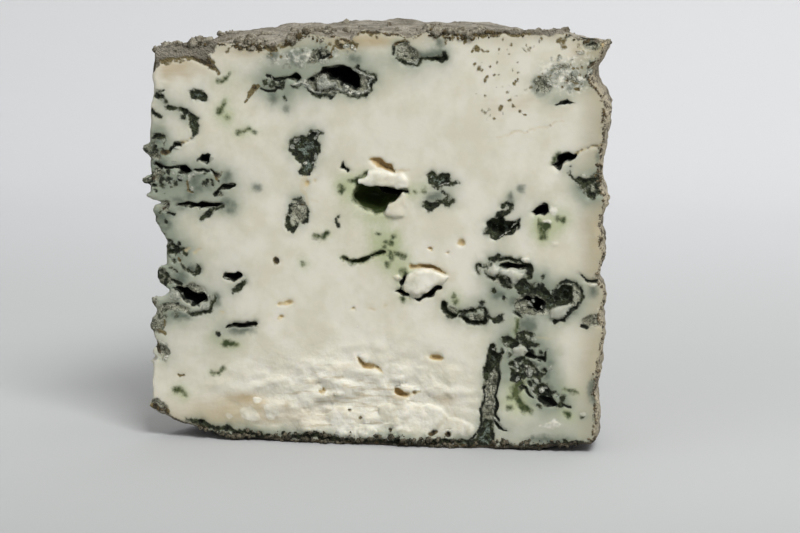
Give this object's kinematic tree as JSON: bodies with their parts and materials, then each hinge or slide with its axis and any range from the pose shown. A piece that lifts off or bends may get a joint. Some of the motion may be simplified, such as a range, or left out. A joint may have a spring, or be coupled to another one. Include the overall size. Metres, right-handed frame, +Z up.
{
  "type": "blue cheese wedge",
  "caption": "Thick wedge cut from a round of blue cheese: ivory paste with mould-lined holes and veins on its cut faces, a rough grey-brown natural rind on top, base and heel.",
  "frame": {"origin": "centre of the box on the surface that the wedge stands on", "axes": "+X along the front cut face from the tip, which was the wheel's centre, to the rind at the heel; +Y from the front cut face into the wedge; +Z up from the base rind to the top rind"},
  "size_m": [0.1018, 0.0922, 0.09],
  "materials": {
    "paste": "moist ivory cheese paste, softly translucent, with grey-green halos round the mould",
    "rind": "dry rough grey-brown natural rind",
    "mould": "dull blue-green to black mould, powdery"
  },
  "bodies": {
    "root": {"cheese_wedge": "paste"}
  },
  "joints": []
}
